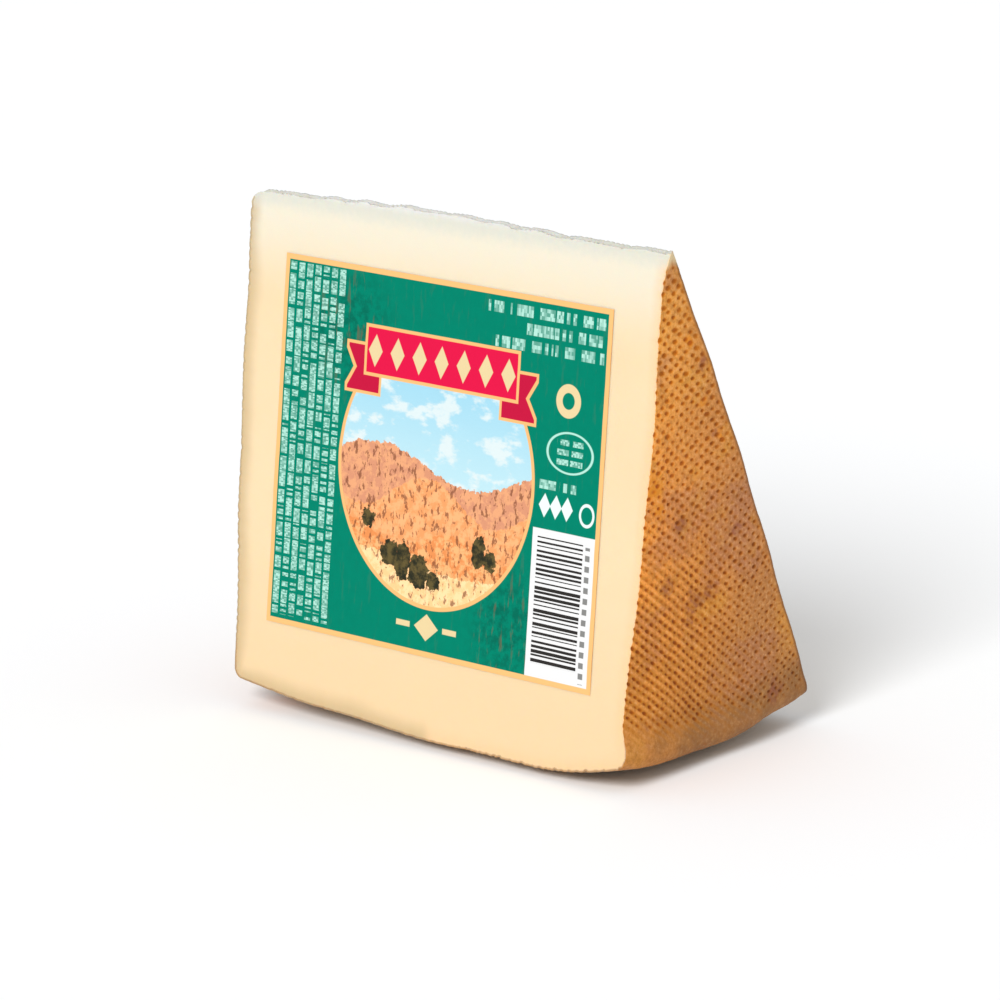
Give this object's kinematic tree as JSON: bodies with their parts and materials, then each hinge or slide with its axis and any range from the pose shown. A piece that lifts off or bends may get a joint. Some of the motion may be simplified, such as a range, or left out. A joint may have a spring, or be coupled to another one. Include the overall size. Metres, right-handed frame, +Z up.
{
  "type": "aged mixed milk cheese",
  "caption": "Wedge of aged mixed milk cheese with a basket-marked amber rind, resting on its curved rind heel, with a paper label on a cut face.",
  "frame": {"origin": "middle of the wedge's box, on the surface that it rests on", "axes": "+X along the knife edge towards the rind face that the picture shows, +Y from the labelled cut face to the plain one, +Z up from the rind heel to the knife edge"},
  "size_m": [0.1042, 0.0502, 0.0937],
  "materials": {
    "cheese": "pale cream cut paste with a soft waxy sheen, and an amber to tan pressed rind, matt and slightly oily",
    "label": "smooth printed paper, green with a narrow peach border, slightly wrinkled"
  },
  "bodies": {
    "root": {"cheese": "cheese", "label": "label"}
  },
  "joints": []
}
